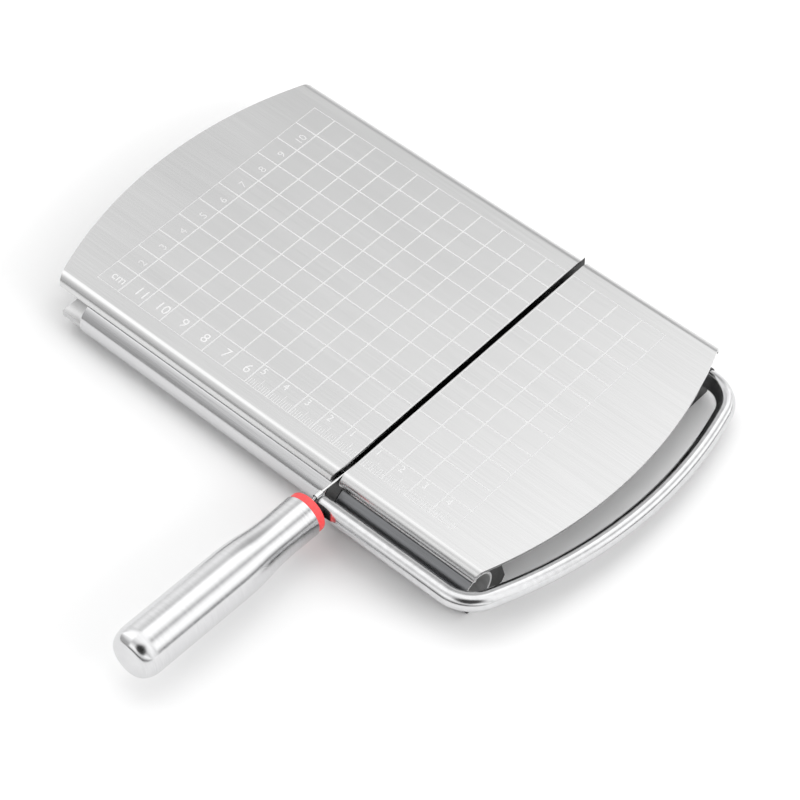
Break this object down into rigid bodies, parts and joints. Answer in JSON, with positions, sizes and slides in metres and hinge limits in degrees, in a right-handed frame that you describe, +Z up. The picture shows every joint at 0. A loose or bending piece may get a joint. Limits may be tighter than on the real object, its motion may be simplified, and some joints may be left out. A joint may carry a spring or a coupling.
{
  "type": "cheese cutting board",
  "caption": "Steel cheese cutting board on black feet, with a slot, an etched centimetre grid and a hinged bent-rod bow that carries a cutting wire and a round handle.",
  "frame": {"origin": "middle of the whole object's footprint, on the surface that it stands on", "axes": "+X along the board towards the bow's curved end, +Y from the handle to the hinge, +Z up"},
  "size_m": [0.2256, 0.2252, 0.0279],
  "materials": {
    "brushed": "brushed along the board, bright edges",
    "rails": "polished",
    "polished": "polished",
    "inner_steel": "plain",
    "screws": "plain",
    "dark_neck": "dark",
    "wire": "drawn",
    "brass": "plain",
    "feet": "smooth",
    "end_feet": "silver grey, satin",
    "black_plastic": "smooth",
    "inner_plastic": "plain",
    "pale_sleeve": "smooth",
    "red": "smooth"
  },
  "bodies": {
    "board": {"left_plate": "brushed", "right_plate": "brushed", "front_left_rail": "rails", "front_right_rail": "rails", "rear_left_rail": "rails", "rear_right_rail": "rails", "front_left_foot": "end_feet", "rear_left_foot": "end_feet", "front_right_foot": "feet", "rear_right_foot": "feet", "foot_screws": "screws", "left_bosses": "inner_steel", "right_bosses": "inner_steel", "left_spacers": "inner_plastic", "right_spacers": "inner_plastic", "slot_trough": "inner_steel", "bow_rest": "black_plastic", "hinge_bush": "inner_plastic"},
    "bow": {"bow": "polished", "axle_clip": "inner_steel", "handle_neck": "dark_neck", "wire": "wire", "wire_sleeve": "pale_sleeve", "rear_bead": "wire", "thrust_washer": "inner_steel"},
    "handle": {"handle_shell": "polished", "handle_ring": "red", "handle_nut": "brass", "handle_bearing": "inner_plastic"},
    "stud": {"tension_stud": "inner_steel", "front_bead": "wire"}
  },
  "joints": [
    {"name": "bow_hinge", "type": "hinge", "parent": "board", "child": "bow", "pos_m": [0.06075, 0.10536, 0.008], "axis": [-1, 0, 0], "range_deg": [0, 110]},
    {"name": "handle_turn", "type": "hinge", "parent": "bow", "child": "handle", "pos_m": [0.03035, -0.03322, 0.01501], "axis": [0, 0.9987, -0.0505], "range_deg": [-360, 360]},
    {"name": "tension_slide", "type": "slide", "parent": "bow", "child": "stud", "axis": [0, -0.9987, 0.0505], "range_m": [-0.001, 0.001]}
  ],
  "couplings": [
    {"joint": "tension_slide", "follows": "handle_turn", "m_per_rad": 0.00015915}
  ]
}
